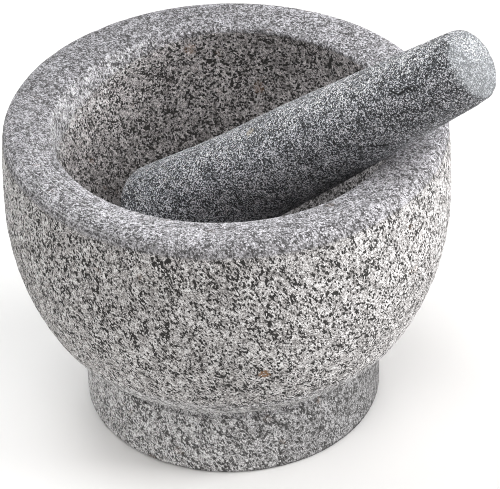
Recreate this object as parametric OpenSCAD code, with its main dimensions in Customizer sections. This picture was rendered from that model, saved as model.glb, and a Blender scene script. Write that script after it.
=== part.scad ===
// Granite mortar and pestle: a turned stone bowl on a round foot, and a loose stone pestle leaning in it.
// The origin is the centre of the foot's underside, and +Z is the mortar's own turning axis.

/* [Mortar outside] */
// Height of the mortar, from the foot's underside to the highest ring of the rim
height = 115; // [112:1:122]
// Largest diameter of the bowl
belly_d = 155; // [150:1:164]
// Height at which the bowl is widest
belly_z = 85; // [82:1:88]
// Radius of the arc that the belly follows below its widest ring
belly_arc = 91; // [86:1:98]
// Radius of the tighter arc under the belly
under_arc = 35; // [32:1:38]
// Slope angle at which the belly arc hands over to the tighter arc
under_turn = 28; // [26:1:30]
// Radius of the nearly straight arc from the belly up to the rim
wall_arc = 280; // [220:10:400]

/* [Foot and waist] */
// Diameter of the foot
foot_d = 106; // [104:1:110]
// Height of the foot's upright face
foot_h = 24.8; // [22:0.2:25]
// Round on the foot's upper and lower edges
foot_round = 1.2; // [0.6:0.2:2]
// Diameter of the waist between foot and bowl
waist_d = 103.6; // [102:0.2:104]
// Radius of the hollow that blends the waist into the bowl
cove_r = 3.6; // [3:0.2:4.4]

/* [Rim and hollow] */
// Radius of the rim's gentle crown
crown_r = 35; // [30:1:60]
// Distance of the crown's highest ring from the axis
crown_at = 70.5; // [69:0.5:72]
// Round between the crown and the outer wall
shoulder_r = 5; // [3:0.5:6]
// Diameter of the mouth
mouth_d = 116.8; // [112:0.2:118]
// Round of the lip between crown and mouth
lip_r = 2; // [1:0.5:3]
// Thickness of stone under the lowest point of the hollow
floor_h = 45.4; // [42:0.2:50]

/* [Pestle] */
// Length of the pestle over its two crowned ends
pestle_len = 158; // [150:1:185]
// Diameter of the pounding head
head_d = 40.4; // [36:0.2:42]
// Radius of the pounding face
head_crown = 26; // [25:0.5:30]
// Round between the pounding face and the shaft
head_round = 6; // [5:0.5:9]
// Diameter of the handle end
handle_d = 25.4; // [22:0.2:28]
// Radius of the handle's end face
handle_crown = 60; // [30:5:80]
// Round at the handle's end
handle_round = 3; // [2:0.2:5]

/* [Resting place] */
// Compass direction in which the handle points, counter-clockwise from +X
lean_azimuth = -24; // [-180:0.5:180]
// Angle up the round floor at which the head rests
head_angle = 24; // [20:1:32]
// Clearance between the two stones
gap = 0.3; // [0.2:0.1:0.6]

/* [Hidden] */
$fn = 360;

// Meeting points of two circles: the one to the right of the line from a to b for side = 1,
// the one to its left for side = -1. Points are [distance from the axis, height].
function meeting(a, a_r, b, b_r, side) =
    let (span = b - a,
         dist = norm(span),
         along = (dist * dist + a_r * a_r - b_r * b_r) / (2 * dist),
         across = sqrt(a_r * a_r - along * along))
    a + (along * span + side * across * [span.y, -span.x]) / dist;

// Point at distance r from a in the direction of b: where tangent circles about a and b touch
function towards(a, b, r) = a + r * (b - a) / norm(b - a);

// Mortar, outside: centres of the arcs and the points where each hands over to the next
belly_r = belly_d / 2;
foot_r = foot_d / 2;
waist_r = waist_d / 2;
turn_way = [cos(under_turn), -sin(under_turn)];
belly_c = [belly_r - belly_arc, belly_z];
turn_pt = belly_c + belly_arc * turn_way;
under_c = turn_pt - under_arc * turn_way;
cove_x = waist_r + cove_r;
cove_c = [cove_x, under_c.y - sqrt(pow(under_arc + cove_r, 2) - pow(cove_x - under_c.x, 2))];
cove_pt = towards(under_c, cove_c, under_arc);
wall_c = [belly_r - wall_arc, belly_z];
crown_c = [crown_at, height - crown_r];
shoulder_c = meeting(wall_c, wall_arc - shoulder_r, crown_c, crown_r - shoulder_r, -1);
shoulder_low = towards(wall_c, shoulder_c, wall_arc);
shoulder_top = towards(crown_c, shoulder_c, crown_r);

// Mortar, inside
mouth_r = mouth_d / 2;
hollow_c = [0, floor_h + mouth_r];
lip_x = mouth_r + lip_r;
lip_c = [lip_x, crown_c.y + sqrt(pow(crown_r - lip_r, 2) - pow(lip_x - crown_c.x, 2))];
lip_pt = towards(crown_c, lip_c, crown_r);

// Pestle, standing on its pounding face with its axis upright
head_c = [0, head_crown];
head_x = head_d / 2 - head_round;
head_edge_c = [head_x, head_crown - sqrt(pow(head_crown - head_round, 2) - head_x * head_x)];
head_pt = towards(head_c, head_edge_c, head_crown);
handle_c = [0, pestle_len - handle_crown];
handle_x = handle_d / 2 - handle_round;
handle_edge_c = [handle_x, handle_c.y + sqrt(pow(handle_crown - handle_round, 2) - handle_x * handle_x)];
handle_pt = towards(handle_c, handle_edge_c, handle_crown);
// The shaft is the straight taper that touches both end rounds
shaft_run = handle_edge_c - head_edge_c;
taper = atan2(shaft_run.y, shaft_run.x) - acos((head_round - handle_round) / norm(shaft_run));
shaft_out = [cos(taper), sin(taper)];
shaft_low = head_edge_c + head_round * shaft_out;
shaft_top = handle_edge_c + handle_round * shaft_out;
// Distance from the centre of the pounding face's sphere to the shaft's side
shaft_off = (shaft_low - head_c) * shaft_out;

// Resting place, in the upright plane through the mortar's axis that the pestle leans in:
// the head's sphere rests in the round floor and the shaft's underside lies on the lip
rest_c = hollow_c - (mouth_r - head_crown - gap) * [sin(head_angle), cos(head_angle)];
lip_span = lip_c - rest_c;
side_lean = atan2(lip_span.y, lip_span.x) + asin((shaft_off + lip_r + gap) / norm(lip_span));
lean = side_lean - taper;

// The part of the plane between two heights, from the axis out to a given reach
module strip(low, high, reach = belly_r) {
    translate([0, low]) square([reach, high - low]);
}

// A whole disc about a point
module disc(centre, r) {
    translate(centre) circle(r);
}

// A disc cut to the strip between two heights. Where arcs touch, the smaller disc lies inside
// the larger one, so neighbouring pieces overlap and only the outline passes from arc to arc.
module disc_strip(centre, r, low, high, reach = belly_r) {
    intersection() {
        disc(centre, r);
        strip(low, high, reach);
    }
}

// Upright face of the foot, with its two rounded edges
module foot_outline() {
    inset = foot_r - foot_round;
    strip(0, foot_h, inset);
    strip(foot_round, foot_h - foot_round, foot_r);
    disc([inset, foot_round], foot_round);
    disc([inset, foot_h - foot_round], foot_round);
}

// Hollow-sided waist between the foot and the bowl
module waist_outline() {
    difference() {
        strip(foot_h - foot_round, turn_pt.y, cove_pt.x);
        disc(cove_c, cove_r);
    }
}

// Rim: round lip, gentle crown and round shoulder
module rim_outline() {
    disc(lip_c, lip_r);
    intersection() {
        disc(crown_c, crown_r);
        translate([lip_pt.x, belly_z]) square([shoulder_top.x - lip_pt.x, height - belly_z]);
    }
    disc(shoulder_c, shoulder_r);
}

// Half section of the whole bowl, hollowed
module mortar_outline() {
    difference() {
        union() {
            foot_outline();
            waist_outline();
            disc_strip(under_c, under_arc, cove_pt.y, belly_z);
            disc_strip(belly_c, belly_arc, turn_pt.y, shoulder_low.y);
            disc_strip(wall_c, wall_arc, belly_z, shoulder_low.y);
            rim_outline();
        }
        disc(hollow_c, mouth_r);
        strip(hollow_c.y, height, mouth_r);
    }
}

// Half section of the pestle, standing on its pounding face
module pestle_outline() {
    disc_strip(head_c, head_crown, 0, head_c.y, head_pt.x);
    disc(head_edge_c, head_round);
    polygon([[0, shaft_low.y], shaft_low, shaft_top, [0, shaft_top.y]]);
    disc(handle_edge_c, handle_round);
    disc_strip(handle_c, handle_crown, handle_edge_c.y - handle_round, pestle_len, handle_pt.x);
}

// The mortar: bowl, waist and foot turned from one block
module mortar() {
    color([0.64, 0.64, 0.64]) rotate_extrude() mortar_outline();
}

// The pestle, leaning across the mouth with its head on the round floor
module pestle() {
    color([0.47, 0.49, 0.52])
        rotate([0, 0, lean_azimuth])
            translate([rest_c.x, 0, rest_c.y])
                rotate([0, 90 - lean, 0])
                    translate([0, 0, -head_crown])
                        rotate_extrude() pestle_outline();
}

mortar();
pestle();
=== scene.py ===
"""A turned granite bowl on a round foot, with a loose granite pestle resting in it.

Each stone is lathed again from the outline of its CAD node, then worn and pecked into the surface,
never out of it, so the clearance between the stones and their overall size stay as they are.
All lengths are in metres.
"""

from math import cos, pi, radians, sin

import bpy
import numpy as np
from mathutils import Matrix, Vector, noise


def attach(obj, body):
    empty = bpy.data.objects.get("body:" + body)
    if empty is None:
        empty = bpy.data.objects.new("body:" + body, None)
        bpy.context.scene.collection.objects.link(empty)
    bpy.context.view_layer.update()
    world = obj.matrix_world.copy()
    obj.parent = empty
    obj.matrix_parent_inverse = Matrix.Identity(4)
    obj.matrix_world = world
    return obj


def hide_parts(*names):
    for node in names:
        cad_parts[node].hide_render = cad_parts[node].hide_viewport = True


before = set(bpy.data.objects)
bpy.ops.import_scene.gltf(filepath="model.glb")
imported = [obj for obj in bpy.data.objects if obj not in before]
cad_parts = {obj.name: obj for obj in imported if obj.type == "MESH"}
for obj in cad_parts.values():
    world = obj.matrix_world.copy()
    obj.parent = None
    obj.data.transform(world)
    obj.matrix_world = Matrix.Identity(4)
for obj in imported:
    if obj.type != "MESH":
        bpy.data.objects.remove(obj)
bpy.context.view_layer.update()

MM = 0.001

# Camera, and the size of its pixel filter. The denoiser keeps the stone's fine grain without its prefilter
VIEW_TARGET = Vector((7.18, 0, 60.08)) * MM
VIEW_DISTANCE = 984.98 * MM
VIEW_ELEVATION = radians(36.45)
VIEW_ROLL = radians(-1.58)
LENS = 201.6
SENSOR_WIDTH = 36
FILTER_WIDTH = 1.0

# Lathe
MORTAR_SEGMENTS = 384
MORTAR_RINGS = 256
PESTLE_SEGMENTS = 256
PESTLE_RINGS = 320
COARSE_STEP = 1.3 * MM
FINE_STEP = 0.35 * MM
STEP_PER_RADIUS = 0.25
HIDDEN_STEP = 6 * MM
SAME_RING = 0.3 * MM


# ---------------------------------------------------------------- outlines


def node_surface(name):
    """The corners of a CAD node's triangles, as an array of shape (triangles, 3 corners, 3)."""
    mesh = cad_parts[name].data
    mesh.calc_loop_triangles()
    points = np.empty(len(mesh.vertices) * 3)
    mesh.vertices.foreach_get("co", points)
    index = np.empty(len(mesh.loop_triangles) * 3, np.int32)
    mesh.loop_triangles.foreach_get("vertices", index)
    return points.reshape(-1, 3)[index].reshape(-1, 3, 3)


def long_axis(name):
    """(lower end, direction) of the axis of a long turned node: the line through its two poles."""
    corners = node_surface(name)
    sides = corners[:, 1:] - corners[:, :1]
    areas = np.linalg.norm(np.cross(sides[:, 0], sides[:, 1]), axis=1)
    centres = corners.mean(axis=1)
    offsets = centres - np.average(centres, axis=0, weights=areas)
    spread = (offsets * areas[:, None]).T @ offsets
    rough_direction = np.linalg.eigh(spread)[1][:, -1]
    points = corners.reshape(-1, 3)
    heights = points @ rough_direction
    poles = points[[heights.argmin(), heights.argmax()]]
    low, high = poles[poles[:, 2].argsort()]
    return low, (high - low) / np.linalg.norm(high - low)


def ring_points(name, base, axis):
    """(radius, height) of each ring of vertices of a turned node."""
    offsets = node_surface(name).reshape(-1, 3) - base
    heights = offsets @ axis
    radii = np.linalg.norm(offsets - heights[:, None] * axis, axis=1)
    return np.unique(np.round(np.column_stack([radii, heights]), 6), axis=0)


def outline(name, base, axis):
    """The half section of a turned node in order, from its highest point on the axis to its lowest."""
    left = [Vector(p) for p in ring_points(name, base, axis)]
    path = [min(left, key=lambda p: (round(p.x, 5), -p.y))]
    while len(left) > 1:
        left.remove(path[-1])
        path.append(min(left, key=lambda p: (p - path[-1]).length))
    kept = [path[0]]
    for point in path[1:-1]:
        if min((point - kept[-1]).length, (point - path[-1]).length) > SAME_RING:
            kept.append(point)
    kept.append(path[-1])
    if kept[-1].x > SAME_RING:
        kept.append(Vector((0, kept[-1].y)))
    return np.array(kept)


def smooth_outline(path, count):
    """(points, normals, distances along) of rings on the smooth curve through an outline's points.

    The rings are close together on the small fillets, and far apart on the underside.
    """
    chords = np.linalg.norm(np.diff(path, axis=0), axis=1)
    along = np.concatenate([[0], np.cumsum(chords)])
    spans = along[2:] - along[:-2]
    slopes = np.diff(path, axis=0)[[0, *range(len(chords))]] / chords[[0, *range(len(chords))], None]
    slopes[1:-1] = (path[2:] - path[:-2]) / spans[:, None]

    def on_curve(at):
        piece = np.clip(np.searchsorted(along, at, side="right") - 1, 0, len(chords) - 1)
        t = ((at - along[piece]) / chords[piece])[:, None]
        reach = chords[piece][:, None]
        start, end = path[piece], path[piece + 1]
        chord = end - start
        a = slopes[piece] * reach - chord
        b = chord - slopes[piece + 1] * reach
        return start + t * chord + t * (1 - t) * ((1 - t) * a + t * b)

    even = np.linspace(0, along[-1], 40 * count)
    turn = np.gradient(np.gradient(on_curve(even), even, axis=0), even, axis=0)
    bend = np.linalg.norm(turn, axis=1)
    step = np.clip(STEP_PER_RADIUS / np.maximum(bend, 1), FINE_STEP, COARSE_STEP)
    step[on_curve(even)[:, 1] < FINE_STEP] = HIDDEN_STEP
    rings = np.concatenate([[0], np.cumsum((even[1] - even[0]) / step[1:])])
    at = np.interp(np.linspace(0, rings[-1], count), rings, even)
    points = on_curve(at)
    tangents = np.gradient(points, at, axis=0)
    tangents /= np.linalg.norm(tangents, axis=1)[:, None]
    normals = np.column_stack([-tangents[:, 1], tangents[:, 0]])
    return points, normals, at


# ---------------------------------------------------------------- relief


def smooth_step(value, start, end):
    """0 before start, 1 after end, with a soft change between them."""
    t = np.clip((value - start) / (end - start), 0, 1)
    return t * t * (3 - 2 * t)


def wave(point, size, octaves=1):
    """Smooth seeded noise from about -1 to 1, with bumps about size across."""
    return noise.fractal(point / size, 0.9, 2.1, octaves, noise_basis="PERLIN_NEW")


def pock(point, size, share):
    """0 to 1: how deep a point is in one of the small round pits, of which each cell holds at most one."""
    distances, centres = noise.voronoi(point / size)
    chosen = noise.cell(centres[0] * 17.3) < share
    return max(0, 1 - 2.4 * distances[0]) if chosen else 0


def lathe(name, rings, segments, base, axis, sink):
    """A closed turned mesh. sink(point, ring, spoke) is how far the stone is worn in at that point."""
    points, normals = rings
    upright = Vector(axis)
    across = Vector((1, 0, 0)) if upright.z > 0.99 else upright.cross(Vector((0, 0, 1))).normalized()
    onward = upright.cross(across)
    spokes = [across * cos(a) + onward * sin(a) for a in np.linspace(0, 2 * pi, segments, endpoint=False)]
    base = Vector(base)
    vertices = [base + upright * points[0][1]]
    for number in range(1, len(points) - 1):
        radius, height = points[number]
        out, up = normals[number]
        centre = base + upright * height
        for k, spoke in enumerate(spokes):
            point = centre + spoke * radius
            vertices.append(point - (spoke * out + upright * up) * sink(point, number, k))
    vertices.append(base + upright * points[-1][1])
    last = len(vertices) - 1
    faces = [(0, 1 + k, 1 + (k + 1) % segments) for k in range(segments)]
    for ring in range(len(points) - 3):
        start = 1 + ring * segments
        for k in range(segments):
            after = (k + 1) % segments
            faces.append((start + k, start + segments + k, start + segments + after, start + after))
    start = last - segments
    faces += [(start + k, last, start + (k + 1) % segments) for k in range(segments)]
    mesh = bpy.data.meshes.new(name)
    mesh.from_pydata(vertices, [], faces)
    mesh.shade_smooth()
    piece = bpy.data.objects.new(name, mesh)
    bpy.context.scene.collection.objects.link(piece)
    return piece


def store(piece, name, values):
    """Saves a value for each ring and spoke on the mesh, for the material to read."""
    values = np.concatenate([values[0, :1], values[1:-1].ravel(), values[-1, :1]])
    layer = piece.data.attributes.new(name, "FLOAT", "POINT")
    layer.data.foreach_set("value", values.astype(np.float32))


def on_surface(piece, place):
    """The vertex of a piece nearest to a place given in millimetres."""
    return min((v.co for v in piece.data.vertices), key=lambda co: (co - Vector(place) * MM).length_squared)


# ---------------------------------------------------------------- stones

# Depths of the relief, and the sizes across of its bumps
SWELL_DEPTH = 0.12 * MM
SWELL_SIZE = 38 * MM
SMOOTH_DEPTH = 0.05 * MM
WALL_DEPTH = 0.2 * MM
PECKED_DEPTH = 0.5 * MM
GRAIN_SIZE = 3.2 * MM
GRAIN_OCTAVES = 3
POCK_DEPTH = 0.35 * MM
POCK_SIZE = 3.4 * MM
POCK_SHARE = 0.4
CHIP_DEPTH = 0.7 * MM
CHIP_SIZE = 6 * MM
CHIP_SHARE = 0.3
# How far in the middle of each noise lies, in units of its depth, so that little of it is cut off at 0
SWELL_MIDDLE = 0.7
GRAIN_MIDDLE = 0.8
# How smooth the foot is against the rim, and how much of the pocks is ground away where it is smooth
FOOT_SMOOTHNESS = 0.8
POCKS_GROUND = 0.85
# Chips are left out where an edge's weight is less than this
LEAST_EDGE = 0.05

# Heights on the bowl, as shares of its whole height
FOOT_TOP = 0.216
BAND_TOP = 0.37
DEEP_START = 0.9
DEEP_END = 0.6

# Drops below the highest ring at which the outer shoulder and the lip of the mouth lie
SHOULDER_DROP = 4 * MM
LIP_DROP = 2.6 * MM

# Half widths of the borders between the zones
RIM_FADE = 0.8 * MM
FOOT_FADE = 0.5 * MM
BAND_FADE_BELOW = 4 * MM
BAND_FADE_ABOVE = 2 * MM
PECKED_FADE = 3 * MM
INSIDE_BEFORE = 1 * MM
INSIDE_AFTER = 2 * MM

# How far chips reach from the lip, the shoulder and the foot's edge
LIP_CHIPS = 1.6 * MM
SHOULDER_CHIPS = 2 * MM
FOOT_CHIPS = 1 * MM

# The smooth band inside the mouth: how far down it goes, and how much further on the worn side
MOUTH_REACH = 1.5 * MM
MOUTH_FADE = 1.5 * MM
WORN_REACH = 14 * MM
WORN_FADE = 8.5 * MM
WORN_SIDE = radians(182)
LIP_WEAR = 1.1 * MM
LIP_WEAR_REACH = 4 * MM
LEDGE_WEAR = 0.9 * MM
LEDGE_WEAR_AT = 1.5 * MM
LEDGE_WEAR_REACH = 4 * MM

# Tone painted on the stone by side and height: mostly painted light and shade, with a paler worn band
# inside the mouth.
# Amounts are shares of the stone's own tone, and sides are azimuths, 0 to the right and 90 at the back.
# Darker in a narrow band along the outer shoulder
SHOULDER_DARK = 0.25
SHOULDER_DARK_REACH = 2 * MM
# The outer rim darker towards the back left
RIM_DARK = 0.35
RIM_DARK_SIDE = radians(135)
MOUTH_PALE = 0.5
# Painted light: the outer wall paler on its front right and on its front left
RIGHT_PAINTED_LIGHT = 0.06
RIGHT_PAINTED_LIGHT_SIDE = radians(-52)
LEFT_PAINTED_LIGHT = 0.22
LEFT_PAINTED_LIGHT_SIDE = radians(-145)
# Painted shade in the hollow: near the lip at the back, and deep down
HOLLOW_PAINTED_SHADE = 0.35
HOLLOW_PAINTED_SHADE_REACH = 22 * MM
HOLLOW_SIDE = radians(75)
DEPTH_PAINTED_SHADE = 0.38
# Painted shade: a dark line along the bottom edge of the foot, where it stands on the floor
BASE_PAINTED_SHADE = 0.6
BASE_START = 0.4 * MM
BASE_EDGE = 1.8 * MM
# Painted shade on the foot and the waist band towards the right, and painted light on the foot towards the
# front left
FOOT_PAINTED_SHADE = 0.54
BAND_PAINTED_SHADE = 0.35
FOOT_PAINTED_SHADE_SIDE = radians(-15)
FOOT_PAINTED_LIGHT = 0.6
FOOT_PAINTED_LIGHT_SIDE = radians(-150)
BROAD = 1
NARROW = 4

# The side on which the lines left by the mason's tool still show, and how strongly they do on the foot
WORKED_SIDE = radians(-140)
FOOT_WORKED = 0.4


def around(centre, reach, along):
    """1 at a place along the outline, fading to 0 on both sides of it."""
    return np.exp(-(((along - centre) / reach) ** 2))


def facing(side, power=1.5):
    """1 for the spoke on that side of the bowl, fading to 0 a quarter turn away."""
    spokes = np.linspace(0, 2 * pi, MORTAR_SEGMENTS, endpoint=False)
    return np.clip(np.cos(spokes - side), 0, 1) ** power


def mortar_zones(points, along):
    """Weights for each ring and spoke: the kinds of surface, its edges, its wear, and painted light and
    shade.
    """
    radius, height = points.T
    tall = height.max()
    crest = along[height.argmax()]
    shoulder = along[np.flatnonzero((along > crest) & (height < tall - SHOULDER_DROP))[0]]
    lip = along[np.flatnonzero(height > tall - LIP_DROP)[0]]
    below = along > along[radius.argmax()]
    worn = facing(WORN_SIDE)
    mouth = lip - MOUTH_REACH - WORN_REACH * worn
    fade = MOUTH_FADE + WORN_FADE * worn
    hollow = 1 - smooth_step(along[:, None], mouth - fade, mouth + fade)
    rim = 1 - smooth_step(along, shoulder - RIM_FADE, shoulder + RIM_FADE)
    foot_top, band_top = FOOT_TOP * tall, BAND_TOP * tall
    foot = below * (1 - smooth_step(height, foot_top - FOOT_FADE, foot_top + FOOT_FADE))
    under_band = 1 - smooth_step(height, band_top - BAND_FADE_BELOW, band_top + BAND_FADE_ABOVE)
    band = below * (1 - foot) * under_band
    foot_line = along[np.flatnonzero(foot > 0.5)[0]]
    edge = around(lip, LIP_CHIPS, along)
    edge = np.maximum(edge, around(shoulder - SHOULDER_CHIPS, SHOULDER_CHIPS, along))
    edge = np.maximum(edge, around(foot_line, FOOT_CHIPS, along))
    pecked = 1 - smooth_step(along, lip - PECKED_FADE, lip)
    zones = {"rim": rim, "band": band, "foot": foot, "edge": edge, "along": along, "pecked": pecked}
    zones = {name: np.repeat(ring[:, None], MORTAR_SEGMENTS, axis=1) for name, ring in zones.items()}
    zones["rim"] = zones["rim"] * (1 - hollow)
    zones["hollow"] = hollow
    wear = LIP_WEAR * around(lip, LIP_WEAR_REACH, along)[:, None] * worn
    ledge = around(foot_line + LEDGE_WEAR_AT, LEDGE_WEAR_REACH, along)
    zones["wear"] = wear + LEDGE_WEAR * ledge[:, None]
    inside = 1 - smooth_step(along, lip - INSIDE_BEFORE, lip + INSIDE_AFTER)[:, None]
    outer_rim = zones["rim"] * (1 - inside)
    zones["worked"] = (outer_rim + FOOT_WORKED * zones["foot"]) * facing(WORKED_SIDE, NARROW)

    # The tone: painted light and shade, the worn band inside the mouth paler, and the rim and shoulder
    # darker in places
    wall = (along > shoulder)[:, None] * (1 - zones["foot"])
    deep = 1 - smooth_step(height, DEEP_END * tall, DEEP_START * tall)
    base = below * (1 - smooth_step(height, BASE_START, BASE_EDGE))
    near_lip = around(lip, HOLLOW_PAINTED_SHADE_REACH, along)[:, None]
    shade = 1 - SHOULDER_DARK * around(shoulder - RIM_FADE, SHOULDER_DARK_REACH, along)[:, None]
    shade = shade - RIM_DARK * outer_rim * facing(RIM_DARK_SIDE, BROAD)
    shade = shade + MOUTH_PALE * zones["rim"] * inside * worn
    shade = shade + RIGHT_PAINTED_LIGHT * wall * facing(RIGHT_PAINTED_LIGHT_SIDE, NARROW)
    shade = shade + LEFT_PAINTED_LIGHT * wall * facing(LEFT_PAINTED_LIGHT_SIDE, NARROW)
    shade = shade - FOOT_PAINTED_SHADE * zones["foot"] * facing(FOOT_PAINTED_SHADE_SIDE)
    shade = shade + FOOT_PAINTED_LIGHT * zones["foot"] * facing(FOOT_PAINTED_LIGHT_SIDE)
    shade = shade - HOLLOW_PAINTED_SHADE * hollow * near_lip * facing(HOLLOW_SIDE)
    shade = shade - DEPTH_PAINTED_SHADE * hollow * deep[:, None]
    shade = shade - BAND_PAINTED_SHADE * zones["band"] * facing(FOOT_PAINTED_SHADE_SIDE)
    shade = shade - BASE_PAINTED_SHADE * base[:, None]
    zones["shade"] = np.maximum(0, shade)
    return zones


def make_mortar():
    """The bowl: pecked inside, bush-hammered outside, and turned smooth on its rim, waist and foot."""
    base, axis = np.zeros(3), np.array([0.0, 0.0, 1.0])
    points, normals, along = smooth_outline(outline("mortar", base, axis), MORTAR_RINGS)
    zones = mortar_zones(points, along)
    smoothness = np.maximum(np.maximum(zones["rim"], zones["band"]), zones["foot"] * FOOT_SMOOTHNESS)
    smoothness = smoothness * (1 - zones["pecked"])
    grain = WALL_DEPTH + (PECKED_DEPTH - WALL_DEPTH) * zones["pecked"]
    grain += (SMOOTH_DEPTH - grain) * smoothness
    pocks = POCK_DEPTH * (1 - POCKS_GROUND * smoothness)
    edge, wear = zones["edge"], zones["wear"]

    def sink(point, ring, spoke):
        depth = SWELL_DEPTH * (SWELL_MIDDLE + wave(point, SWELL_SIZE)) + wear[ring, spoke]
        depth += grain[ring, spoke] * (GRAIN_MIDDLE + wave(point, GRAIN_SIZE, GRAIN_OCTAVES))
        depth += pocks[ring, spoke] * pock(point, POCK_SIZE, POCK_SHARE)
        if edge[ring, spoke] > LEAST_EDGE:
            depth += CHIP_DEPTH * edge[ring, spoke] * pock(point, CHIP_SIZE, CHIP_SHARE)
        return max(0, depth)

    piece = lathe("granite_mortar", (points, normals), MORTAR_SEGMENTS, base, axis, sink)
    for name in ("hollow", "rim", "band", "foot", "shade", "along", "worked"):
        store(piece, name, zones[name])
    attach(piece, "mortar")
    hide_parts("mortar")
    return piece


# The pestle's slight waist, as shares of its length, the wear at its cap's edge, and its relief
NECK_DEPTH = 0.8 * MM
NECK_AT = 0.3
NECK_REACH = 0.14
CAP_WEAR = 0.3 * MM
CAP_REACH = 4 * MM
PESTLE_DEPTH = 0.12 * MM
PESTLE_GRAIN = 2.4 * MM
PESTLE_POCK_DEPTH = 0.28 * MM
PESTLE_POCK_SIZE = 5.44 * MM
PESTLE_POCK_SHARE = 0.3

# Painted light on the pestle: paler on its upper side and most on its head; and painted shade underneath
TOP_SIDE = radians(225)
TOP_PAINTED_LIGHT = 0.58
HEAD_PAINTED_LIGHT = 1.1
HEAD_START = 0.1
HEAD_SHARE = 0.35
CAP_BEFORE = 1 * MM
CAP_AFTER = 2 * MM
UNDER_PAINTED_SHADE = 0.3


def make_pestle():
    """The pestle: ground smooth all over, slightly waisted above the head, worn round at the cap's edge."""
    base, axis = long_axis("pestle")
    points, normals, along = smooth_outline(outline("pestle", base, axis), PESTLE_RINGS)
    radius, height = points.T
    length = height.max()
    neck = NECK_DEPTH * np.exp(-(((height / length - NECK_AT) / NECK_REACH) ** 2))
    cap_edge = along[np.flatnonzero(normals[:, 0] > 0.7)[0]]
    cap = CAP_WEAR * np.exp(-(((along - cap_edge) / CAP_REACH) ** 2))

    def sink(point, ring, spoke):
        depth = neck[ring] + cap[ring]
        depth += SWELL_DEPTH * (SWELL_MIDDLE + wave(point, SWELL_SIZE))
        depth += PESTLE_DEPTH * (GRAIN_MIDDLE + wave(point, PESTLE_GRAIN, GRAIN_OCTAVES))
        depth += PESTLE_POCK_DEPTH * pock(point, PESTLE_POCK_SIZE, PESTLE_POCK_SHARE)
        return max(0, depth)

    piece = lathe("granite_pestle", (points, normals), PESTLE_SEGMENTS, base, axis, sink)
    # Painted light towards the upper side, most on the head, and painted shade on the underside
    turned = np.cos(np.linspace(0, 2 * pi, PESTLE_SEGMENTS, endpoint=False) - TOP_SIDE)
    head = 1 - smooth_step(height, HEAD_START * length, HEAD_SHARE * length)
    pale = (TOP_PAINTED_LIGHT + HEAD_PAINTED_LIGHT * head)[:, None] * np.clip(turned, 0, 1) ** 1.5
    store(piece, "shade", 1 + pale - UNDER_PAINTED_SHADE * np.clip(-turned, 0, 1))
    cap_weight = 1 - smooth_step(along, cap_edge - CAP_BEFORE, cap_edge + CAP_AFTER)
    store(piece, "cap", np.repeat(cap_weight[:, None], PESTLE_SEGMENTS, axis=1))
    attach(piece, "pestle")
    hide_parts("pestle")
    return piece


# ---------------------------------------------------------------- materials

# No stone gives back more light than this
PALEST = (0.85, 0.85, 0.85)


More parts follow.
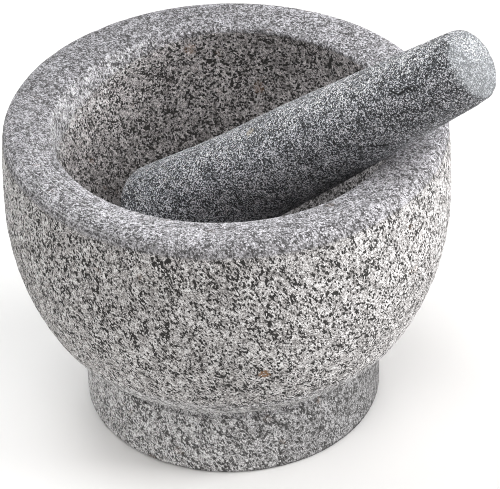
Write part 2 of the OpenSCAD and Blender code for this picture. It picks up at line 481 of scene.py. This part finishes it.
class Material:
    """Short calls for building one material's nodes. A value is a number, a colour or a node's socket."""

    def __init__(self, name):
        self.data = bpy.data.materials.new(name)
        self.data.use_nodes = True
        self.tree = self.data.node_tree
        self.tree.nodes.clear()

    def node(self, kind, inputs, **settings):
        made = self.tree.nodes.new("ShaderNode" + kind)
        for key, value in settings.items():
            setattr(made, key, value)
        for key, value in inputs.items():
            if isinstance(value, bpy.types.NodeSocket):
                self.tree.links.new(value, made.inputs[key])
            else:
                made.inputs[key].default_value = value
        return made

    def math(self, operation, a, b=0.0, c=0.0, clamp=False):
        return self.node("Math", {0: a, 1: b, 2: c}, operation=operation, use_clamp=clamp).outputs[0]

    def blend_levels(self, parts):
        """The sum of several values' swings about a half, each with its own weight, about a half again."""
        level = 0.5 - sum(weight for _, weight in parts) / 2
        for value, weight in parts:
            level = self.math("MULTIPLY_ADD", value, weight, level)
        return level

    def read(self, name):
        return self.node("Attribute", {}, attribute_name=name).outputs["Fac"]

    def place(self):
        return self.node("TexCoord", {}).outputs["Object"]

    def noise(self, place, size, detail=2.0, roughness=0.5):
        inputs = {"Vector": place, "Scale": 1 / size, "Detail": detail, "Roughness": roughness}
        return self.node("TexNoise", inputs).outputs["Fac"]

    def grains(self, place, size):
        """A random number for each grain of about that size."""
        cells = self.node("TexVoronoi", {"Vector": place, "Scale": 1 / size})
        return self.node("SeparateColor", {"Color": cells.outputs["Color"]}).outputs[0]

    def rings(self, along, size):
        """Lines around the stone, about that far apart along its outline."""
        inputs = {"W": self.math("MULTIPLY", along, 1 / size), "Scale": 1.0, "Detail": 1.0}
        return self.node("TexNoise", inputs, noise_dimensions="1D").outputs["Fac"]

    def jitter(self, place, size, amount):
        """The place, pushed about by up to amount, so that grains get ragged edges."""
        push = self.node("TexNoise", {"Vector": place, "Scale": 1 / size, "Detail": 2.0}).outputs["Color"]
        centred = self.node("VectorMath", {0: push, 1: (0.5, 0.5, 0.5)}, operation="SUBTRACT").outputs[0]
        scaled = self.node("VectorMath", {0: centred, "Scale": 2 * amount}, operation="SCALE").outputs[0]
        return self.node("VectorMath", {0: place, 1: scaled}, operation="ADD").outputs[0]

    def stretch(self, place, direction, times):
        """The place, squeezed along a direction, so that what is drawn there comes out longer that way."""
        unit = tuple(Vector(direction).normalized())
        share = self.node("VectorMath", {0: place, 1: unit}, operation="DOT_PRODUCT").outputs["Value"]
        inputs = {0: unit, "Scale": self.math("MULTIPLY", share, 1 / times - 1)}
        push = self.node("VectorMath", inputs, operation="SCALE").outputs[0]
        return self.node("VectorMath", {0: place, 1: push}, operation="ADD").outputs[0]

    def step(self, value, start, end, low=0.0, high=1.0):
        """low before start, high after end, with a straight change between them."""
        inputs = {"Value": value, "From Min": start, "From Max": end, "To Min": low, "To Max": high}
        return self.node("MapRange", inputs, clamp=True).outputs[0]

    def near(self, place, centre, radius, soft=0.3):
        """1 within that distance of a point, and 0 outside it."""
        away = self.node("VectorMath", {0: place, 1: centre}, operation="DISTANCE").outputs["Value"]
        return self.step(away, radius * (1 - soft), radius, 1.0, 0.0)

    def near_line(self, place, start, end, width):
        """1 on a straight line between two points, fading to 0 at that distance from it."""
        along = end - start
        offset = self.node("VectorMath", {0: place, 1: start}, operation="SUBTRACT").outputs[0]
        inputs = {0: offset, 1: tuple(along / along.length_squared)}
        share = self.node("VectorMath", inputs, operation="DOT_PRODUCT").outputs["Value"]
        share = self.math("ADD", share, 0.0, clamp=True)
        nearest = self.node("VectorMath", {0: tuple(along), "Scale": share}, operation="SCALE").outputs[0]
        away = self.node("VectorMath", {0: offset, 1: nearest}, operation="DISTANCE").outputs["Value"]
        return self.step(away, 0.5 * width, width, 1.0, 0.0)

    def ramp(self, value, stops):
        made = self.node("ValToRGB", {0: value})
        points = made.color_ramp.elements
        while len(points) < len(stops):
            points.new(0.5)
        for point, (position, colour) in zip(points, stops):
            point.position = position
            point.color = (*colour, 1)
        return made.outputs[0]

    def mix(self, amount, a, b, how="MIX"):
        made = self.node("Mix", {}, data_type="RGBA", blend_type=how)
        sockets = [s for s in made.inputs if s.enabled]
        for socket, value in zip(sockets, (amount, a, b)):
            if isinstance(value, bpy.types.NodeSocket):
                self.tree.links.new(value, socket)
            else:
                socket.default_value = value if isinstance(value, float) else (*value, 1)
        return next(s for s in made.outputs if s.enabled)

    def mix_number(self, amount, a, b):
        return self.node("Mix", {0: amount, 2: a, 3: b}, data_type="FLOAT").outputs[0]

    def shaded(self, colour, shade):
        """The colour times shade, but never paler than the palest stone."""
        scaled = self.node("VectorMath", {0: colour, "Scale": shade}, operation="SCALE").outputs[0]
        return self.mix(1.0, scaled, PALEST, "DARKEN")

    def finish(self, colour, roughness, height, depth, specular):
        """Ends the material in one shader, with height as its bump."""
        bump = self.node("Bump", {"Height": height, "Distance": depth, "Strength": 1.0}).outputs[0]
        inputs = {"Base Color": colour, "Roughness": roughness, "Normal": bump}
        inputs["Specular IOR Level"] = specular
        shader = self.node("BsdfPrincipled", inputs).outputs[0]
        self.node("OutputMaterial", {"Surface": shader})
        return self.data


def grey(tone, warmth=0.0):
    """A grey of that linear brightness: warmth above 0 is browner, and below 0 bluer."""
    return (tone * (1 + warmth), tone, tone * (1 - warmth))


def flecks(m, place, size, share, clumping=1.2):
    """Picks about that share of the grains of that size, 0 or 1, more of them in some places."""
    ragged = m.jitter(place, 0.7 * size, 0.45 * size)
    clumps = m.noise(place, 5 * size)
    level = m.blend_levels([(m.grains(ragged, size), 1.0), (clumps, clumping)])
    return m.step(level, 1 - share, 1.01 - share)


# The bowl's stone. Grains and cloudy patches are (size, weight), and flecks are (size, share of grains)
FINE_GRAINS = (0.28 * MM, 0.5)
BEDDED_GRAINS = (0.5 * MM, 0.35)
STONE_CLOUDS = [(2.2 * MM, 0.5), (6 * MM, 0.3), (16 * MM, 0.2)]
STONE_TONES = [
    (0.25, grey(0.2, 0.02)),
    (0.4, grey(0.36, 0.01)),
    (0.52, grey(0.5)),
    (0.62, grey(0.64)),
    (0.74, grey(0.95)),
]
WALL_FLECKS = (0.52 * MM, 0.26)
HOLLOW_FLECKS = (0.66 * MM, 0.3)
SMALL_FLECKS = (0.36 * MM, 0.14)
SMALL_STRENGTH = 0.8
SMOOTH_SHOW = 0.8
WALL_TINT = (0.92, 0.89, 0.885)
SMOOTH_TINT = (0.82, 0.805, 0.85)
HOLLOW_TINT = (1.03, 0.975, 0.975)
BAND_TINT = (0.98, 0.97, 0.98)
FOOT_TINT = (0.84, 0.83, 0.84)
WALL_MICA = grey(0.026, 0.05)
HOLLOW_MICA = grey(0.034, 0.05)
BORDER_SIZE = 2.5 * MM
STONE_BUMP_SIZE = 0.8 * MM
STONE_BUMP = 0.4 * MM

# The direction in which the stone's grains are drawn out, and how many times longer they are that way
BEDDING = (0.4, 0.0, -0.92)
BEDDING_STRETCH = 1.9

# Rusty mineral specks all over, and three larger marks, as (place in millimetres, radius, strength)
RUST = (0.23, 0.125, 0.06)
RUST_SPECKS = (2.4 * MM, 0.006)
RUST_STRENGTH = 0.35
RUST_PATCHES = (0.5 * MM, 0.7)
RUST_MARKS = [
    ((10.9, -73.3, 60.4), 2.3 * MM, 1.0),
    ((-12.4, 57, 104.9), 2.6 * MM, 0.4),
    ((12.4, 55.3, 89.8), 2.6 * MM, 0.35),
]

# Lines left by the mason's tool: how far apart, how much paler, and how high
LINE_SIZE = 0.9 * MM
LINE_TONE = grey(0.9)
LINE_PALE = 0.25
LINE_HEIGHT = 0.8


def rust_on(m, place, piece, colour):
    """The colour with rusty specks and marks on it."""
    rust = m.math("MULTIPLY", flecks(m, place, *RUST_SPECKS, 0.0), RUST_STRENGTH)
    patchy = flecks(m, place, *RUST_PATCHES)
    for centre, radius, strength in RUST_MARKS:
        mark = m.near(m.jitter(place, 1.5 * MM, 1 * MM), on_surface(piece, centre), radius)
        rust = m.math("MAXIMUM", rust, m.math("MULTIPLY", m.math("MULTIPLY", mark, patchy), strength))
    return m.mix(rust, colour, RUST)


def mortar_granite(piece):
    """Salt-and-pepper granite: pale feldspar, grey quartz and black mica, rougher in the pecked hollow."""
    m = Material("salt_and_pepper_granite")
    place = m.place()
    hollow, rim, band, foot = (m.read(name) for name in ("hollow", "rim", "band", "foot"))
    bedded = m.stretch(place, BEDDING, BEDDING_STRETCH)
    ragged_edge = m.noise(place, BORDER_SIZE, 3.0, 0.6)
    hollow = m.step(m.blend_levels([(hollow, 1.0), (ragged_edge, 0.8)]), 0.4, 0.6)
    smooth = m.math("ADD", m.math("ADD", rim, band), m.math("MULTIPLY", foot, 0.6), clamp=True)
    smooth = m.step(m.blend_levels([(smooth, 1.0), (ragged_edge, 0.5)]), 0.2, 0.8)
    layers = ((place, FINE_GRAINS), (bedded, BEDDED_GRAINS))
    parts = [(m.grains(where, size), weight) for where, (size, weight) in layers]
    parts += [(m.noise(place, size), weight) for size, weight in STONE_CLOUDS]
    colour = m.ramp(m.blend_levels(parts), STONE_TONES)
    large = m.mix_number(hollow, flecks(m, bedded, *WALL_FLECKS), flecks(m, place, *HOLLOW_FLECKS))
    small = m.math("MULTIPLY", flecks(m, place, *SMALL_FLECKS), SMALL_STRENGTH)
    show = m.step(smooth, 0.0, 1.0, 1.0, SMOOTH_SHOW)
    dark = m.math("MULTIPLY", m.math("MAXIMUM", large, small), show)
    tint = m.mix(smooth, WALL_TINT, SMOOTH_TINT)
    for zone, zone_tint in ((hollow, HOLLOW_TINT), (band, BAND_TINT), (foot, FOOT_TINT)):
        tint = m.mix(zone, tint, zone_tint)
    # The tone weights from the mesh: painted light and shade, and the paler worn band
    colour = m.shaded(m.mix(1.0, colour, tint, "MULTIPLY"), m.read("shade"))
    colour = m.mix(dark, colour, m.mix(hollow, WALL_MICA, HOLLOW_MICA))
    colour = rust_on(m, place, piece, colour)
    lines = m.rings(m.read("along"), LINE_SIZE)
    worked = m.read("worked")
    paler = m.math("MULTIPLY", worked, m.step(lines, 0.58, 0.66, 0.0, LINE_PALE))
    colour = m.mix(paler, colour, LINE_TONE)
    bumps = m.noise(bedded, STONE_BUMP_SIZE, 2.0, 0.6)
    height = m.math("SUBTRACT", m.math("MULTIPLY", bumps, 1.2), m.math("MULTIPLY", large, 0.4))
    height = m.math("MULTIPLY", height, show)
    height = m.math("MULTIPLY_ADD", m.math("MULTIPLY", lines, LINE_HEIGHT), worked, height)
    return m.finish(colour, 0.8, height, STONE_BUMP, 0.3)


# The pestle's stone, in the same terms
PESTLE_GRAINS = [(0.27 * MM, 0.7), (0.45 * MM, 0.4)]
PESTLE_CLOUDS = [(2 * MM, 0.4), (6 * MM, 0.4), (16 * MM, 0.3)]
PESTLE_TONES = [
    (0.25, grey(0.03, -0.05)),
    (0.42, grey(0.08, -0.05)),
    (0.54, grey(0.19, -0.04)),
    (0.66, grey(0.46, -0.03)),
    (0.78, grey(0.85)),
]
PESTLE_SMALL_FLECKS = (0.4 * MM, 0.18)
PESTLE_LARGE_FLECKS = (0.62 * MM, 0.08)
PESTLE_MICA = grey(0.012, -0.05)
PESTLE_TINT = (0.98, 0.98, 1.03)
CAP_TINT = (0.84, 0.86, 0.9)
CAP_DUST = grey(0.36, -0.04)
CAP_DUSTY = 0.35
PESTLE_BUMP_SIZE = 0.7 * MM
PESTLE_BUMP = 0.12 * MM

# Short black cracks, as the corners of broken lines in millimetres, and a brownish chip
CRACKS = [
    ((54, -36.6, 147.1), (56.2, -38.7, 146.9), (59.3, -39.5, 150), (60.5, -40.7, 149.6)),
    ((47.7, -36.4, 125.7), (49, -36.5, 125.3)),
    ((49.9, -36.7, 125.8), (52.2, -37, 126.4)),
]
CRACK_WIDTH = 0.45 * MM
CHIP_PLACE = (7.9, -9.7, 114.9)
CHIP_RADIUS = 1.8 * MM
CHIP_COLOUR = (0.42, 0.38, 0.31)
CHIP_STRENGTH = 0.7


def cracked(m, place, piece, dark):
    """The weight of what is black, with the cracks added to it."""
    wavy = m.jitter(place, 1 * MM, 0.35 * MM)
    for corners in CRACKS:
        points = [on_surface(piece, corner) for corner in corners]
        for start, end in zip(points, points[1:]):
            dark = m.math("MAXIMUM", dark, m.near_line(wavy, start, end, CRACK_WIDTH))
    return dark


def pestle_granite(piece):
    """A darker, finer and bluer granite."""
    m = Material("blue_grey_granite")
    place = m.place()
    parts = [(m.grains(place, size), weight) for size, weight in PESTLE_GRAINS]
    parts += [(m.noise(place, size), weight) for size, weight in PESTLE_CLOUDS]
    colour = m.ramp(m.blend_levels(parts), PESTLE_TONES)
    cap = m.read("cap")
    colour = m.mix(1.0, colour, m.mix(cap, PESTLE_TINT, CAP_TINT), "MULTIPLY")
    # Painted light on the upper side and head, and painted shade underneath
    colour = m.shaded(colour, m.read("shade"))
    colour = m.mix(m.math("MULTIPLY", cap, CAP_DUSTY), colour, CAP_DUST)
    chip = m.near(m.jitter(place, 1.2 * MM, 0.6 * MM), on_surface(piece, CHIP_PLACE), CHIP_RADIUS)
    colour = m.mix(m.math("MULTIPLY", chip, CHIP_STRENGTH), colour, CHIP_COLOUR)
    small, large = (flecks(m, place, *kind) for kind in (PESTLE_SMALL_FLECKS, PESTLE_LARGE_FLECKS))
    mica = m.math("MAXIMUM", small, large)
    dark = cracked(m, place, piece, m.math("MULTIPLY", mica, m.step(cap, 0.0, 1.0, 0.9, 0.3)))
    colour = m.mix(dark, colour, PESTLE_MICA)
    bumps = m.noise(place, PESTLE_BUMP_SIZE, 2.0, 0.6)
    height = m.math("SUBTRACT", m.math("MULTIPLY", bumps, 1.2), m.math("MULTIPLY", dark, 0.4))
    return m.finish(colour, 0.7, height, PESTLE_BUMP, 0.3)


# ---------------------------------------------------------------- stage

FLOOR_SIZE = 6
FLOOR_COLOUR = (0.87, 0.86, 0.85)
FLOOR_GLOW = 0.06
FAR = 1.6
FAR_SIZE = 0.9
NEAR = 0.45
NEAR_SIZE = 0.3
WORLD_STRENGTH = 0.02
WHITE = (1.0, 1.0, 1.0)
WARM = (1.0, 0.98, 0.96)

# Lights, as (name, azimuth, elevation, power, colour)
FAR_LIGHTS = [
    ("right", 0, 15, 33, WHITE),
    ("back", 90, 15, 8, WARM),
    ("back_left", 135, 15, 7, WARM),
    ("left", 225, 9, 6.6, (1.0, 0.99, 0.97)),
    ("front", 270, 65, 6, WARM),
]
NEAR_LIGHTS = [
    ("low_right", -20, 30, 0.45, WHITE),
    ("over_back", 135, 55, 1.3, (0.95, 0.98, 1.0)),
    ("over_front", 275, 55, 0.5, WHITE),
]


def plain_material(name, colour, glow):
    m = Material(name)
    inputs = {"Base Color": (*colour, 1), "Roughness": 0.9}
    inputs.update({"Emission Color": (1, 1, 1, 1), "Emission Strength": glow})
    shader = m.node("BsdfPrincipled", inputs)
    m.node("OutputMaterial", {"Surface": shader.outputs[0]})
    return m.data


def make_floor():
    mesh = bpy.data.meshes.new("floor")
    half = FLOOR_SIZE / 2
    corners = [(-half, -half, 0), (half, -half, 0), (half, half, 0), (-half, half, 0)]
    mesh.from_pydata(corners, [], [(0, 1, 2, 3)])
    floor = bpy.data.objects.new("floor", mesh)
    bpy.context.scene.collection.objects.link(floor)
    floor.data.materials.append(plain_material("pale_floor", FLOOR_COLOUR, FLOOR_GLOW))


def add_light(name, azimuth, elevation, power, colour, distance, size):
    """A soft square light that faces the bowl. Azimuth 0 is to the right, and 90 behind the bowl."""
    light = bpy.data.lights.new(name, "AREA")
    light.size = size
    light.energy = power
    light.color = colour
    lamp = bpy.data.objects.new(name, light)
    turn, rise = radians(azimuth), radians(elevation)
    direction = Vector((cos(turn) * cos(rise), sin(turn) * cos(rise), sin(rise)))
    lamp.location = VIEW_TARGET + distance * direction
    lamp.rotation_euler = direction.to_track_quat("Z", "Y").to_euler()
    bpy.context.scene.collection.objects.link(lamp)


def add_world(strength, colour):
    world = bpy.data.worlds.new("studio")
    world.use_nodes = True
    background = world.node_tree.nodes["Background"]
    background.inputs["Color"].default_value = (*colour, 1)
    background.inputs["Strength"].default_value = strength
    bpy.context.scene.world = world


def add_camera():
    back = Vector((0, -cos(VIEW_ELEVATION), sin(VIEW_ELEVATION)))
    right = Vector((1, 0, 0))
    up = back.cross(right)
    side = cos(VIEW_ROLL) * right + sin(VIEW_ROLL) * up
    top = cos(VIEW_ROLL) * up - sin(VIEW_ROLL) * right
    data = bpy.data.cameras.new("camera")
    data.sensor_width = SENSOR_WIDTH
    data.lens = LENS
    camera = bpy.data.objects.new("camera", data)
    turn = Matrix((side, top, back)).transposed().to_4x4()
    camera.matrix_world = Matrix.Translation(VIEW_TARGET + back * VIEW_DISTANCE) @ turn
    bpy.context.scene.collection.objects.link(camera)
    bpy.context.scene.camera = camera


mortar = make_mortar()
mortar.data.materials.append(mortar_granite(mortar))
pestle = make_pestle()
pestle.data.materials.append(pestle_granite(pestle))
make_floor()
for light in FAR_LIGHTS:
    add_light(*light, FAR, FAR_SIZE)
for light in NEAR_LIGHTS:
    add_light(*light, NEAR, NEAR_SIZE)
add_world(WORLD_STRENGTH, WHITE)
add_camera()
bpy.context.scene.view_settings.view_transform = "Standard"
bpy.context.scene.cycles.filter_width = FILTER_WIDTH
bpy.context.scene.cycles.denoising_prefilter = "NONE"
